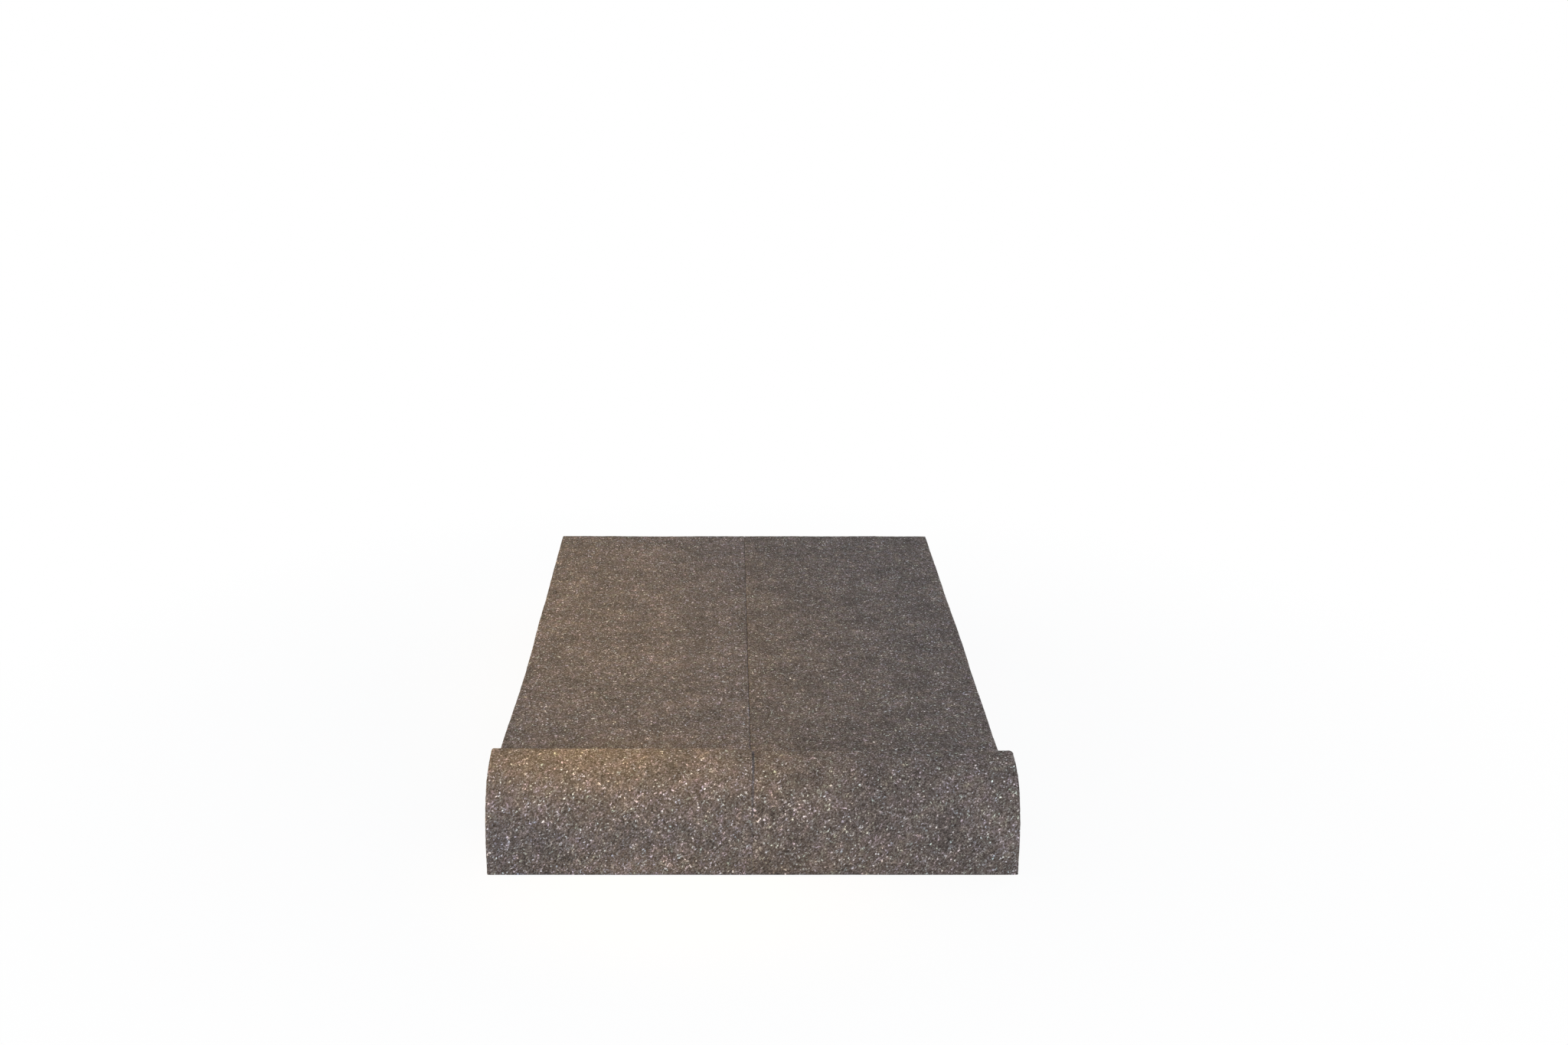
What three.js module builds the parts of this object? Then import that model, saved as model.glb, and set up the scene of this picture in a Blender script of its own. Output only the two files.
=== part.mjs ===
// Isolation pad: two foam blocks side by side, each with a rounded lip in front
// and a deck behind it that rises to the rear.
// Millimetres. +X runs across the pad, +Y from front to rear, +Z up.
// The origin is at the middle of the bottom face, on the seam between the blocks.

import * as THREE from "three";

// Driving dimensions of one block
const blockWidth = 101.6;
const blockLength = 304.8;
const seamGap = 0.4;

// Deck behind the lip: its height at the lip's foot, and its rise to the rear
const deckFrontHeight = 25.5;
const deckSlopeDegrees = 4;

// Lip in front of the deck
const lipDepth = 24.5;
const lipStep = 15.7;

// Side view of the lip's nose: a short straight face, then one curve back to the top
const noseStraight = 8;
const noseFaceHandle = 20;
const noseTopHandle = 17.5;
const noseTopDrop = 1;

// Roundings of the knife-cut edges, and of the inner corner between the lip and the deck
const cornerRound = 1;
const sideRound = 0.6;
const innerRound = 3;

// Fineness of the curved stretches
const curveSteps = 20;
const sideRoundSteps = 2;

const lipHeight = deckFrontHeight + lipStep;
const deckRise = (blockLength - lipDepth) * Math.tan(THREE.MathUtils.degToRad(deckSlopeDegrees));
const rearHeight = deckFrontHeight + deckRise;

// Runs the outline to the corner and rounds it on the way to the next point
function roundedCorner(outline, corner, next, radius) {
  const here = outline.currentPoint.clone();
  const enter = corner.clone().add(here.sub(corner).setLength(radius));
  const leave = corner.clone().add(next.clone().sub(corner).setLength(radius));
  outline.lineTo(enter.x, enter.y);
  outline.quadraticCurveTo(corner.x, corner.y, leave.x, leave.y);
}

// Side outline of a block: x is the distance behind the front face, y the height
function blockOutline() {
  const frontBottom = new THREE.Vector2(0, 0);
  const rearBottom = new THREE.Vector2(blockLength, 0);
  const rearTop = new THREE.Vector2(blockLength, rearHeight);
  const deckFront = new THREE.Vector2(lipDepth, deckFrontHeight);
  const lipBack = new THREE.Vector2(lipDepth, lipHeight);
  const noseFoot = new THREE.Vector2(0, noseStraight);
  const outline = new THREE.Shape();
  outline.moveTo(blockLength / 2, 0);
  roundedCorner(outline, rearBottom, rearTop, cornerRound);
  roundedCorner(outline, rearTop, deckFront, cornerRound);
  roundedCorner(outline, deckFront, lipBack, innerRound);
  outline.lineTo(lipBack.x, lipBack.y);
  outline.bezierCurveTo(
    lipDepth - noseTopHandle, lipHeight - noseTopDrop,
    0, noseStraight + noseFaceHandle,
    noseFoot.x, noseFoot.y,
  );
  roundedCorner(outline, frontBottom, rearBottom, cornerRound);
  outline.closePath();
  return outline;
}

// Block extruded across the pad, with its front face at y = 0 and its inner side at x = 0
function blockGeometry() {
  const geometry = new THREE.ExtrudeGeometry(blockOutline(), {
    depth: blockWidth - 2 * sideRound,
    curveSegments: curveSteps,
    bevelEnabled: true,
    bevelThickness: sideRound,
    bevelSize: sideRound,
    bevelOffset: -sideRound,
    bevelSegments: sideRoundSteps,
  });
  geometry.translate(0, 0, sideRound);
  const outlineToPad = new THREE.Matrix4().makeBasis(
    new THREE.Vector3(0, 1, 0),
    new THREE.Vector3(0, 0, 1),
    new THREE.Vector3(1, 0, 0),
  );
  geometry.applyMatrix4(outlineToPad);
  return geometry;
}

function foamMaterial(name, colour) {
  return new THREE.MeshStandardMaterial({ name, color: colour, roughness: 0.95, metalness: 0 });
}

function block(name, innerSideX, colour) {
  const mesh = new THREE.Mesh(blockGeometry(), foamMaterial(name, colour));
  mesh.name = name;
  mesh.position.set(innerSideX, -blockLength / 2, 0);
  return mesh;
}

const pad = new THREE.Group();
pad.name = "speaker_isolation_pad";
pad.add(block("left_block", -seamGap / 2 - blockWidth, 0x6e645c));
pad.add(block("right_block", seamGap / 2, 0x66605c));

export default pad;
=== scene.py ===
import math

import bpy
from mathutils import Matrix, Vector, noise
from mathutils.geometry import delaunay_2d_cdt


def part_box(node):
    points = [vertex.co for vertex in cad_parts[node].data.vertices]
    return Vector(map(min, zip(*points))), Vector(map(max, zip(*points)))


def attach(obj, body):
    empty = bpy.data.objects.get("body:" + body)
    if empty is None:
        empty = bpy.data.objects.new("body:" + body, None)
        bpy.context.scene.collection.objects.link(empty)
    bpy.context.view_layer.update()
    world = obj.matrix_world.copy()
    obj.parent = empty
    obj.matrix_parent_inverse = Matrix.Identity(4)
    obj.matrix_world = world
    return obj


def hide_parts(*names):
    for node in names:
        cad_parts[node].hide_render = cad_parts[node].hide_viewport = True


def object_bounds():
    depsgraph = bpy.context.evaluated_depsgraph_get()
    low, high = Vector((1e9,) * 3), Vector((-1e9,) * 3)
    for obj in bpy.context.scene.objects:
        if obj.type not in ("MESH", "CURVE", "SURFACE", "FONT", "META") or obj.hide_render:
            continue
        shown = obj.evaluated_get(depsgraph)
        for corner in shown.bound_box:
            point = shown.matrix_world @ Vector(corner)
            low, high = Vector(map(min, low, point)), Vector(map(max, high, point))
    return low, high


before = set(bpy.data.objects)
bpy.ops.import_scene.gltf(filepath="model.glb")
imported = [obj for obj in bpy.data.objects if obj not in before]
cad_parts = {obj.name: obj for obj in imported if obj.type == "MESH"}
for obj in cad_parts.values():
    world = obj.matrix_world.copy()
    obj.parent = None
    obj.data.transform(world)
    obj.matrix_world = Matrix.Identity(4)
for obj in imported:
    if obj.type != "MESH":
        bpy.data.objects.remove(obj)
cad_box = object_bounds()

MM = 0.001

# Side view of a block, in metres, measured from the foot of its front face
DECK_FRONT_HEIGHT = 25.5 * MM
LIP_DEPTH = 24.5 * MM
LIP_HEIGHT = 41.2 * MM
NOSE_STRAIGHT = 8 * MM
NOSE_FACE_HANDLE = 20 * MM
NOSE_TOP_HANDLE = 17.5 * MM
NOSE_TOP_DROP = 1 * MM
CORNER_ROUND = 0.9 * MM
FOOT_ROUND = 0.3 * MM
INNER_ROUND = 3 * MM
LIP_EDGE_ROUND = 0.8 * MM

# Spacing of the mesh on each stretch of the side view, and across the block
NOSE_SPACING = 0.62 * MM
LIP_BACK_SPACING = 0.9 * MM
DECK_SPACING = 1.25 * MM
REAR_SPACING = 1.3 * MM
BOTTOM_SPACING = 4 * MM
ACROSS_SPACING = 0.66 * MM
SIDE_SPACING = 1.5 * MM
CORNER_STEPS = 3
SIDE_ROUND_STEPS = 3
MERGE_DISTANCE = 0.015 * MM

# Kind of triangulation that fills the inside of a ring
FILL_INSIDE = 1

# Gap that the eye sees between the blocks, where their open cells meet
SEAM = 0.01 * MM

# How far the right block's outer side stands out of its CAD node
RIGHT_SIDE_SHIFT = 0.3 * MM

# How far down from the top of the lip its end corner is softened
SOFT_CORNER_REACH = 5 * MM

# Bulge of the deck's left edge: how far behind the front it is widest, and its reach from there
BULGE_PLACE = 62 * MM
BULGE_FRONT_REACH = 37.5 * MM
BULGE_REAR_REACH = 66 * MM
BULGE_FADE_POWER = 4

# Unevenness of the cut foam: size of the swellings and how far they reach
RELIEF = (
    (45 * MM, 0.30 * MM),
    (9 * MM, 0.10 * MM),
    (2.6 * MM, 0.06 * MM),
    (1.4 * MM, 0.08 * MM),
)

# A point counts as part of a side when this much of its normal points out of that side
FACING = 0.3

# Foam: the cells are stretched along a slant, as the foam rose in its mould
CELL_STRETCH = 1.3
CELL_SLANT = math.radians(45)

# Sizes of the foam's pattern, from the single cell wall up to clouds of tint
FLECK_SIZE = 0.31 * MM
FACET_SIZE = 0.46 * MM
# Size of the cells that carry the painted glints, highlights painted into the colour
PAINTED_GLINT_SIZE = 0.55 * MM
GRAIN_SIZE = 0.65 * MM
WANDER_SIZE = 0.8 * MM
WANDER_REACH = 0.7 * MM
PATCH_SIZE = 3.2 * MM
CLOUD_SIZE = 14 * MM
NOISE_ROUGHNESS = 0.55

# How far each pattern makes the foam lighter or darker, as a power of e
FLECK_CONTRAST = 0.35
FACET_CONTRAST = 0.47
GRAIN_CONTRAST = 0.71
PATCH_CONTRAST = 0.12
CLOUD_CONTRAST = 0.16
# Painted glints: how much lighter the chosen cells are painted as highlights, and the random value
# from which a cell is chosen
PAINTED_GLINT_CONTRAST = 1.65
PAINTED_GLINT_FROM = 0.77
LIGHTEST = 0.9

# Breath of colour in the painted glints, highlights painted into the colour: share of red, green and
# blue, least and most
HUE_LEAST = (0.80, 0.90, 0.80)
HUE_MOST = (1.20, 1.10, 1.20)

# Surface of the foam
FOAM_ROUGHNESS = 0.92
FOAM_SPECULAR = 0.1
BUMP_STRENGTH = 0.5
BUMP_DISTANCE = 0.3 * MM

# Floor: plain white from one distance on, and nearer by how much of it is white
FLOOR_HALF = 6.0
FLOOR_COLOUR = (0.70, 0.73, 0.79, 1)
SHADE_NEAR = 0.16
SHADE_FAR = 0.4
WHITE_SHARE_NEAR = 0.93

# Light from all round
SKY_COLOUR = (0.97, 0.98, 1, 1)
SKY_STRENGTH = 0.66

# Lamps
PANEL_SIZE = 0.9
SPOT_RADIUS = 0.045
WHITE_LIGHT = (1.0, 0.99, 0.98)
PAD_MIDDLE = (0, 0, 0.02)

# Camera at the photograph's angle
SENSOR_WIDTH_MM = 36.0
LENS_MM = 35.92
CAMERA_BEFORE_FRONT = 539.3 * MM
CAMERA_LEFT = 9.9 * MM
CAMERA_HEIGHT = 296.7 * MM
CAMERA_PITCH = math.radians(16.115)

# Optical centre of the photograph, left of the middle of its width, in pixels
PHOTO_WIDTH_PIXELS = 2048
OPTICAL_CENTRE_X = 949


# Mesh building


def straight(start, end, spacing):
    """Evenly spaced points from start up to, and without, end."""
    steps = max(1, round((end - start).length / spacing))
    return [start.lerp(end, k / steps) for k in range(steps)]


def turn(before, corner, after, radius, steps):
    """Points around a rounded corner, with both of its ends."""
    enter = corner + (before - corner).normalized() * radius
    leave = corner + (after - corner).normalized() * radius
    return [
        enter.lerp(corner, k / steps).lerp(corner.lerp(leave, k / steps), k / steps)
        for k in range(steps + 1)
    ]


def curve(start, first_handle, last_handle, end, spacing):
    """Points along a cubic curve up to, and without, its end."""
    steps = round(((first_handle - start).length + (last_handle - first_handle).length
                   + (end - last_handle).length) / spacing)
    points = []
    for k in range(steps):
        t = k / steps
        s = 1 - t
        points.append(start * s ** 3 + first_handle * (3 * s * s * t)
                      + last_handle * (3 * s * t * t) + end * t ** 3)
    return points


def side_view(length, rear_height):
    """Outline of a block seen from its side: (distance behind the front, height), anticlockwise."""
    front_bottom = Vector((0, 0))
    rear_bottom = Vector((length, 0))
    rear_top = Vector((length, rear_height))
    deck_front = Vector((LIP_DEPTH, DECK_FRONT_HEIGHT))
    lip_back = Vector((LIP_DEPTH, LIP_HEIGHT))
    nose_top = Vector((LIP_DEPTH - LIP_EDGE_ROUND, LIP_HEIGHT))
    nose_foot = Vector((0, NOSE_STRAIGHT))
    front_turn = turn(nose_foot, front_bottom, rear_bottom, FOOT_ROUND, CORNER_STEPS)
    rear_turn = turn(front_bottom, rear_bottom, rear_top, FOOT_ROUND, CORNER_STEPS)
    top_turn = turn(rear_bottom, rear_top, deck_front, CORNER_ROUND, CORNER_STEPS)
    inner_turn = turn(rear_top, deck_front, lip_back, INNER_ROUND, CORNER_STEPS + 1)
    lip_turn = turn(deck_front, lip_back, nose_top, LIP_EDGE_ROUND, CORNER_STEPS)
    outline = []
    outline += front_turn[:-1] + straight(front_turn[-1], rear_turn[0], BOTTOM_SPACING)
    outline += rear_turn[:-1] + straight(rear_turn[-1], top_turn[0], REAR_SPACING)
    outline += top_turn[:-1] + straight(top_turn[-1], inner_turn[0], DECK_SPACING)
    outline += inner_turn[:-1] + straight(inner_turn[-1], lip_turn[0], LIP_BACK_SPACING)
    outline += lip_turn[:-1]
    outline += curve(
        lip_turn[-1],
        Vector((LIP_DEPTH - NOSE_TOP_HANDLE, LIP_HEIGHT - NOSE_TOP_DROP)),
        Vector((0, NOSE_STRAIGHT + NOSE_FACE_HANDLE)),
        nose_foot,
        NOSE_SPACING,
    )
    outline += straight(nose_foot, front_turn[0], NOSE_SPACING)
    return outline


def outward(outline):
    """Unit normals that point out of an anticlockwise outline."""
    count = len(outline)
    normals = []
    for k in range(count):
        along = outline[(k + 1) % count] - outline[k - 1]
        normals.append(Vector((along.y, -along.x)).normalized())
    return normals


def stations(width, left_round, right_round):
    """Sections across a block, each as the side or place that it starts from, its way inwards
    (1, -1 or 0) and its angle around the side's edge."""
    quarter = [math.pi / 2 * k / SIDE_ROUND_STEPS for k in range(SIDE_ROUND_STEPS)]
    inner = width - left_round - right_round
    steps = round(inner / ACROSS_SPACING)
    left = [(0, 1, angle) for angle in quarter]
    middle = [(left_round + inner * k / steps, 0, math.pi / 2) for k in range(steps + 1)]
    right = [(width, -1, angle) for angle in reversed(quarter)]
    return left + middle + right


def side_fill(ring):
    """Triangles that fill a ring of (y, z) points, and the new points inside it."""
    low_z = min(p.y for p in ring)
    high_z = max(p.y for p in ring)
    low_y = min(p.x for p in ring)
    high_y = max(p.x for p in ring)
    inside = []
    rows = int((high_z - low_z) / SIDE_SPACING)
    columns = int((high_y - low_y) / SIDE_SPACING)
    for row in range(1, rows):
        for column in range(1, columns):
            shift = 0.5 * (row % 2)
            inside.append(Vector((
                low_y + (column + shift) * (high_y - low_y) / columns,
                low_z + row * (high_z - low_z) / rows,
            )))
    count = len(ring)
    edges = [(k, (k + 1) % count) for k in range(count)]
    places, _, triangles, sources, _, _ = delaunay_2d_cdt(
        ring + inside, edges, [], FILL_INSIDE, MERGE_DISTANCE)
    return places, triangles, sources


def block_mesh(name, low, high, rounding, lip_lift, bulge):
    """One foam block inside the box from low to high. For its left and its right side, rounding
    gives the radius of the edges in front, at the lip's top and along the deck, and lip_lift how
    far the lip's top stands up; bulge is how far the deck's left edge bulges behind the lip."""
    outline = side_view(high.y - low.y, high.z - low.z)
    normals = outward(outline)
    count = len(outline)
    lip_end = LIP_DEPTH + CORNER_ROUND
    soft_from = LIP_HEIGHT - SOFT_CORNER_REACH
    softness = [
        max(0, min(1, (point.y - soft_from) / SOFT_CORNER_REACH)) if point.x < lip_end else 0
        for point in outline
    ]
    vertices = []
    faces = []
    across = stations(high.x - low.x, max(rounding["left"]), max(rounding["right"]))
    for start, inwards, angle in across:
        front_round, lip_round, deck_round = rounding["left" if inwards > 0 else "right"]
        for point, normal, soft in zip(outline, normals, softness):
            edge_round = front_round if point.x < lip_end else deck_round
            radius = edge_round + (lip_round - edge_round) * soft
            place = point - normal * radius * (1 - math.sin(angle))
            x = start + inwards * radius * (1 - math.cos(angle))
            vertices.append(Vector((low.x + x, low.y + place.x, low.z + place.y)))
    for row in range(len(across) - 1):
        for k in range(count):
            after = (k + 1) % count
            first = row * count
            faces.append((first + k, first + after, first + count + after, first + count + k))
    for row, outwards in ((0, False), (len(across) - 1, True)):
        x = vertices[row * count].x
        ring = [Vector((v.y, v.z)) for v in vertices[row * count:(row + 1) * count]]
        places, triangles, sources = side_fill(ring)
        index = []
        for place, source in zip(places, sources):
            known = [s for s in source if s < count]
            if known:
                index.append(row * count + known[0])
            else:
                index.append(len(vertices))
                vertices.append(Vector((x, place.x, place.y)))
        for triangle in triangles:
            corners = [index[k] for k in triangle]
            faces.append(tuple(corners if outwards else reversed(corners)))
    rise = LIP_HEIGHT - DECK_FRONT_HEIGHT
    for v in vertices:
        along = (v.x - low.x) / (high.x - low.x)
        if v.y - low.y <= LIP_DEPTH:
            share = max(0, (v.z - DECK_FRONT_HEIGHT) / rise)
            v.z += share * (lip_lift[0] * (1 - along) + lip_lift[1] * along)
        behind = v.y - low.y - BULGE_PLACE
        reach = BULGE_FRONT_REACH if behind < 0 else BULGE_REAR_REACH
        near = max(0, 1 - (behind / reach) ** 2)
        share = near ** 2 * min(1, v.z / DECK_FRONT_HEIGHT)
        v.x -= share * bulge * (1 - along) ** BULGE_FADE_POWER
    mesh = bpy.data.meshes.new(name)
    mesh.from_pydata(vertices, [], faces)
    mesh.validate()
    mesh.update()
    return mesh


def add_relief(mesh, seed, inner_sign, floor_z):
    """Moves each point along its normal by layered noise, and keeps the bottom and the inner side,
    which inner_sign tells, flat."""
    places = [v.co.copy() for v in mesh.vertices]
    directions = [v.normal.copy() for v in mesh.vertices]
    shift = Vector((seed, 2 * seed, 3 * seed))
    for vertex, place, direction in zip(mesh.vertices, places, directions):
        height = sum(reach * noise.noise(place / size + shift) for size, reach in RELIEF)
        moved = place + direction * height
        moved.z = place.z if direction.z < -FACING else max(moved.z, floor_z)
        if inner_sign * direction.x > FACING:
            moved.x = place.x
        vertex.co = moved


def foam_block(node, seed, rounding, lip_lift, bulge, tint):
    """Foam block in a CAD node's place, with its inner face brought up to the seam."""
    low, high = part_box(node)
    inner_sign = 1 if high.x < 0 else -1
    if inner_sign > 0:
        high.x = -SEAM / 2
    else:
        low.x = SEAM / 2
        high.x += RIGHT_SIDE_SHIFT
    mesh = block_mesh(node + "_foam", low, high, rounding, lip_lift, bulge)
    add_relief(mesh, seed, inner_sign, low.z)
    for polygon in mesh.polygons:
        polygon.use_smooth = True
    mesh.materials.append(foam_material(node + "_foam", seed, tint))
    piece = bpy.data.objects.new(node + "_foam", mesh)
    bpy.context.scene.collection.objects.link(piece)
    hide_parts(node)
    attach(piece, "root")


# Materials


def add_node(tree, kind, inputs=(), **settings):
    """New shader node; inputs pairs a socket's name or number with a value or a socket to link."""
    made = tree.nodes.new(kind)
    for name, value in settings.items():
        setattr(made, name, value)
    for key, value in dict(inputs).items():
        if isinstance(value, bpy.types.NodeSocket):
            tree.links.new(value, made.inputs[key])
        else:
            made.inputs[key].default_value = value
    return made


def ramp(tree, value, low, high, low_out=0.0, high_out=1.0):
    """Value mapped in a straight line from low..high to low_out..high_out, and held outside."""
    made = add_node(tree, "ShaderNodeMapRange", {
        "Value": value, "From Min": low, "From Max": high, "To Min": low_out, "To Max": high_out,
    })
    return made.outputs["Result"]


def mix_colours(tree, share, first, second, blend="MIX"):
    made = add_node(tree, "ShaderNodeMix", data_type="RGBA", blend_type=blend)
    for number, value in ((0, share), (6, first), (7, second)):
        if isinstance(value, bpy.types.NodeSocket):
            tree.links.new(value, made.inputs[number])
        else:
            made.inputs[number].default_value = value
    return made.outputs[2]


def maths(tree, operation, first, second=0.0):
    made = add_node(tree, "ShaderNodeMath", {0: first, 1: second}, operation=operation)
    return made.outputs[0]


def noise_layer(tree, place, size, detail):
    """Smooth noise with swellings of the given size."""
    return add_node(tree, "ShaderNodeTexNoise", {
        "Vector": place,
        "Scale": 1 / size,
        "Detail": detail,
        "Roughness": NOISE_ROUGHNESS,
    })


def cell_layer(tree, place, size):
    """Three random numbers from 0 to 1 for each cell of a packing of cells of the given size."""
    cells = add_node(tree, "ShaderNodeTexVoronoi", {"Vector": place, "Scale": 1 / size}, feature="F1")
    return add_node(tree, "ShaderNodeSeparateColor", {"Color": cells.outputs["Color"]}).outputs


def foam_material(name, seed, tint):
    """Open-cell foam: a web of struts and cut cell walls over dark pores, with glints painted into
    the base colour as highlights.
    """
    material = bpy.data.materials.new(name)
    material.use_nodes = True
    tree = material.node_tree
    tree.nodes.clear()
    coordinates = add_node(tree, "ShaderNodeTexCoord").outputs["Object"]
    slanted = add_node(tree, "ShaderNodeMapping", {
        "Vector": coordinates,
        "Location": (seed, seed, seed),
        "Rotation": (0, -CELL_SLANT, 0),
        "Scale": (CELL_STRETCH, 1, 1),
    }, vector_type="TEXTURE").outputs[0]
    wander = noise_layer(tree, slanted, WANDER_SIZE, 1.0).outputs["Color"]
    wander = add_node(tree, "ShaderNodeVectorMath", {0: wander, 1: (0.5, 0.5, 0.5)},
                      operation="SUBTRACT").outputs[0]
    wander = add_node(tree, "ShaderNodeVectorMath", {0: wander, "Scale": WANDER_REACH},
                      operation="SCALE").outputs[0]
    place = add_node(tree, "ShaderNodeVectorMath", {0: slanted, 1: wander},
                     operation="ADD").outputs[0]

    grain = noise_layer(tree, place, GRAIN_SIZE, 2.0).outputs["Fac"]
    clouds = noise_layer(tree, slanted, CLOUD_SIZE, 3.0)
    patches = noise_layer(tree, slanted, PATCH_SIZE, 1.0)
    facets = cell_layer(tree, place, FACET_SIZE)
    flecks = cell_layer(tree, place, FLECK_SIZE)
    # Cells that carry the painted glints
    painted_glint_cells = cell_layer(tree, place, PAINTED_GLINT_SIZE)

    # Lightness as a power of e, so that dark and light parts keep their share
    parts = (
        ramp(tree, grain, 0.25, 0.75, -GRAIN_CONTRAST, GRAIN_CONTRAST),
        ramp(tree, facets[0], 0.0, 1.0, -FACET_CONTRAST, FACET_CONTRAST),
        ramp(tree, flecks[0], 0.0, 1.0, -FLECK_CONTRAST, FLECK_CONTRAST),
        ramp(tree, clouds.outputs["Fac"], 0.3, 0.7, -CLOUD_CONTRAST, CLOUD_CONTRAST),
        ramp(tree, patches.outputs["Fac"], 0.3, 0.7, -PATCH_CONTRAST, PATCH_CONTRAST),
        # Painted glints: chosen cells painted much lighter, standing in for highlights
        maths(tree, "MULTIPLY", ramp(tree, painted_glint_cells[0], PAINTED_GLINT_FROM, 1.0, 0.0, PAINTED_GLINT_CONTRAST),
              ramp(tree, grain, 0.42, 0.58)),
    )
    total = parts[0]
    for part in parts[1:]:
        total = maths(tree, "ADD", total, part)
    level = maths(tree, "EXPONENT", total)

    # What is lighter than the body is a painted glint: a highlight painted into the colour, near
    # white with a breath of colour
    body = mix_colours(tree, ramp(tree, clouds.outputs["Fac"], 0.35, 0.65),
                       (*tint["cool"], 1), (*tint["warm"], 1))
    hue = add_node(tree, "ShaderNodeMapRange", {
        "Vector": patches.outputs["Color"],
        7: (0.3, 0.3, 0.3),
        8: (0.7, 0.7, 0.7),
        9: HUE_LEAST,
        10: HUE_MOST,
    }, data_type="FLOAT_VECTOR").outputs["Vector"]
    glint = mix_colours(tree, 1.0, hue, (*tint["glint"], 1), blend="MULTIPLY")
    # Below 1 the body colour is scaled; above 1 the excess paints the glint colour on as a highlight
    dark = maths(tree, "MINIMUM", level, 1.0)
    painted_glint_share = maths(tree, "MAXIMUM", maths(tree, "SUBTRACT", level, 1.0), 0.0)
    body = add_node(tree, "ShaderNodeVectorMath", {0: body, "Scale": dark},
                    operation="SCALE").outputs[0]
    glint = add_node(tree, "ShaderNodeVectorMath", {0: glint, "Scale": painted_glint_share},
                     operation="SCALE").outputs[0]
    colour = add_node(tree, "ShaderNodeVectorMath", {0: body, 1: glint},
                      operation="ADD").outputs[0]
    colour = add_node(tree, "ShaderNodeVectorMath", {0: colour, 1: (LIGHTEST,) * 3},
                      operation="MINIMUM").outputs[0]

    relief = maths(tree, "ADD", grain, facets[1])
    bump = add_node(tree, "ShaderNodeBump", {
        "Strength": BUMP_STRENGTH,
        "Distance": BUMP_DISTANCE,
        "Height": relief,
    })
    shader = add_node(tree, "ShaderNodeBsdfPrincipled", {
        "Base Color": colour,
        "Roughness": FOAM_ROUGHNESS,
        "Specular IOR Level": FOAM_SPECULAR,
        "Normal": bump.outputs["Normal"],
    })
    output = add_node(tree, "ShaderNodeOutputMaterial")
    tree.links.new(shader.outputs["BSDF"], output.inputs["Surface"])
    return material


# Surroundings


def seen_rays(tree):
    """1 for rays of the camera and for those that gloss or glass send on, 0 for the rest."""
    paths = add_node(tree, "ShaderNodeLightPath").outputs
    seen = maths(tree, "MAXIMUM", paths["Is Camera Ray"], paths["Is Glossy Ray"])
    return maths(tree, "MAXIMUM", seen, paths["Is Transmission Ray"])


def floor_material():
    """White floor that keeps the pad's shadow near it and turns to plain white further out."""
    material = bpy.data.materials.new("floor")
    material.use_nodes = True
    tree = material.node_tree
    tree.nodes.clear()
    coordinates = add_node(tree, "ShaderNodeTexCoord").outputs["Object"]
    distance = add_node(tree, "ShaderNodeVectorMath", {0: coordinates},
                        operation="LENGTH").outputs["Value"]
    far = ramp(tree, distance, SHADE_NEAR, SHADE_FAR, WHITE_SHARE_NEAR, 1.0)
    share = maths(tree, "MULTIPLY", far, seen_rays(tree))
    diffuse = add_node(tree, "ShaderNodeBsdfDiffuse", {"Color": FLOOR_COLOUR})
    white = add_node(tree, "ShaderNodeEmission", {"Color": (1, 1, 1, 1), "Strength": 1.0})
    both = add_node(tree, "ShaderNodeMixShader",
                    {0: share, 1: diffuse.outputs[0], 2: white.outputs[0]})
    output = add_node(tree, "ShaderNodeOutputMaterial")
    tree.links.new(both.outputs[0], output.inputs["Surface"])
    return material


def add_floor():
    mesh = bpy.data.meshes.new("floor")
    signs = ((-1, -1), (1, -1), (1, 1), (-1, 1))
    corners = [(x * FLOOR_HALF, y * FLOOR_HALF, 0) for x, y in signs]
    mesh.from_pydata(corners, [], [(0, 1, 2, 3)])
    mesh.materials.append(floor_material())
    floor = bpy.data.objects.new("floor", mesh)
    bpy.context.scene.collection.objects.link(floor)


def add_world():
    """Soft white light from all round, and plain white where the camera looks past the floor."""
    world = bpy.data.worlds.new("studio")
    bpy.context.scene.world = world
    world.use_nodes = True
    tree = world.node_tree
    tree.nodes.clear()
    light = add_node(tree, "ShaderNodeBackground",
                     {"Color": SKY_COLOUR, "Strength": SKY_STRENGTH})
    white = add_node(tree, "ShaderNodeBackground", {"Color": (1, 1, 1, 1), "Strength": 1.0})
    both = add_node(tree, "ShaderNodeMixShader",
                    {0: seen_rays(tree), 1: light.outputs[0], 2: white.outputs[0]})
    output = add_node(tree, "ShaderNodeOutputWorld")
    tree.links.new(both.outputs[0], output.inputs["Surface"])


def add_lamp(name, place, target, watts, colour, beam=None, beam_stretch=1):
    """Broad round lamp, or a spot whose beam is some degrees high and beam_stretch times as wide."""
    data = bpy.data.lights.new(name, "SPOT" if beam else "AREA")
    if beam:
        data.spot_size = math.radians(beam)
        data.spot_blend = 1.0
        data.shadow_soft_size = SPOT_RADIUS
    else:
        data.shape = "DISK"
        data.size = PANEL_SIZE
    data.energy = watts
    data.color = colour
    lamp = bpy.data.objects.new(name, data)
    lamp.location = place
    lamp.rotation_euler = (Vector(target) - Vector(place)).to_track_quat("-Z", "Y").to_euler()
    lamp.scale.x = beam_stretch
    bpy.context.scene.collection.objects.link(lamp)


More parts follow.
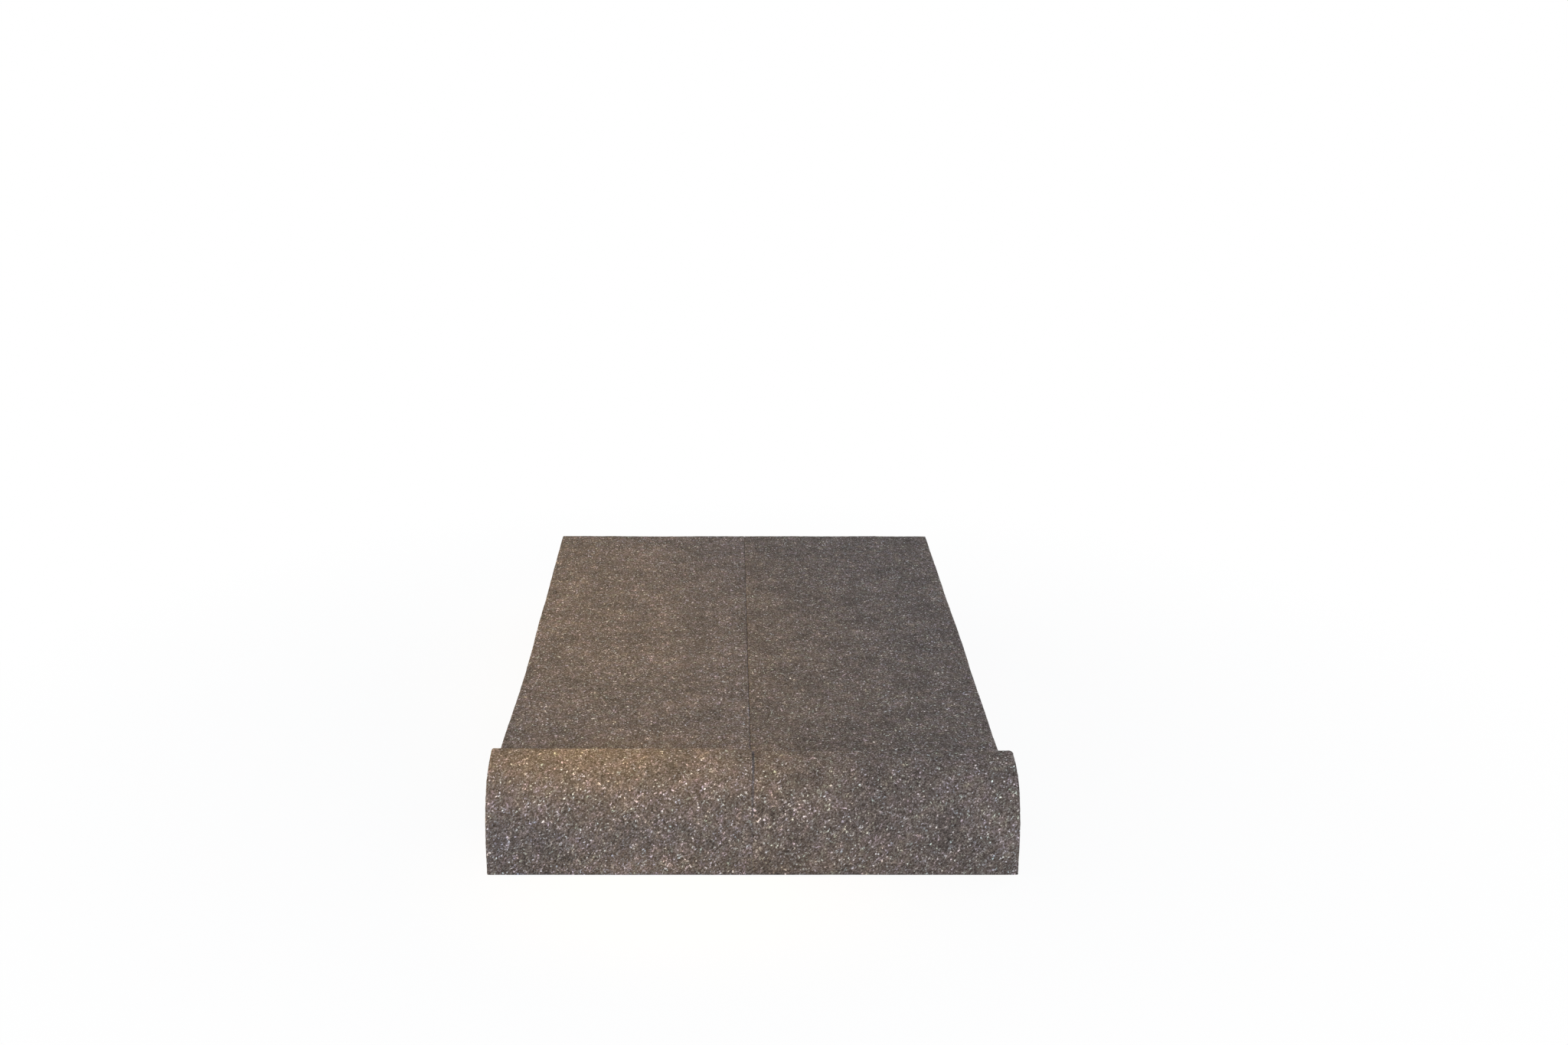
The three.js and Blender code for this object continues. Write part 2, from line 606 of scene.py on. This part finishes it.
def add_camera():
    front = cad_box[0][1]
    data = bpy.data.cameras.new("camera")
    data.sensor_width = SENSOR_WIDTH_MM
    data.lens = LENS_MM
    data.shift_x = 0.5 - OPTICAL_CENTRE_X / PHOTO_WIDTH_PIXELS
    camera = bpy.data.objects.new("camera", data)
    place = Vector((-CAMERA_LEFT, front - CAMERA_BEFORE_FRONT, CAMERA_HEIGHT))
    camera.location = place
    camera.rotation_euler = (math.pi / 2 - CAMERA_PITCH, 0, 0)
    bpy.context.scene.collection.objects.link(camera)
    bpy.context.scene.camera = camera


add_camera()

foam_block(
    "left_block", seed=1.7,
    rounding={"left": (0.5 * MM, 0.8 * MM, 0.5 * MM), "right": (0.2 * MM, 0.1 * MM, 0.45 * MM)},
    lip_lift=(0.92 * MM, 0.82 * MM),
    bulge=1.35 * MM,
    tint={
        "warm": (0.106, 0.086, 0.079),
        "cool": (0.097, 0.084, 0.081),
        # Colour of the painted glints, highlights painted into the base colour
        "glint": (0.087, 0.089, 0.104),
    },
)
foam_block(
    "right_block", seed=8.3,
    rounding={"left": (0.05 * MM, 0.05 * MM, 0.45 * MM), "right": (0.6 * MM, 1.5 * MM, 0.6 * MM)},
    lip_lift=(-0.42 * MM, -0.15 * MM),
    bulge=0,
    tint={
        "warm": (0.105, 0.084, 0.075),
        "cool": (0.098, 0.082, 0.077),
        # Colour of the painted glints, highlights painted into the base colour
        "glint": (0.088, 0.089, 0.092),
    },
)

add_floor()
add_world()
add_lamp(
    "warm on the lip",
    place=(-0.365, -0.12, 0.43), target=(-0.057, -0.158, 0.037),
    watts=25.0, colour=(1.0, 0.61, 0.10),
    beam=15, beam_stretch=0.8,
)
add_lamp(
    "warm on the deck",
    place=(-0.58, -0.06, 0.68), target=(-0.07, 0.045, 0.03),
    watts=22.0, colour=(1.0, 0.60, 0.06),
    beam=13, beam_stretch=2.6,
)
add_lamp("front", place=(0.15, -1.3, 0.56), target=PAD_MIDDLE, watts=9.4, colour=WHITE_LIGHT)
add_lamp("right", place=(1.1, 0.7, 0.35), target=PAD_MIDDLE, watts=4.5, colour=WHITE_LIGHT)
add_lamp("left", place=(-1.2, 0.2, 0.3), target=PAD_MIDDLE, watts=2.6, colour=(1.0, 0.95, 0.88))

bpy.context.scene.view_settings.view_transform = "Standard"
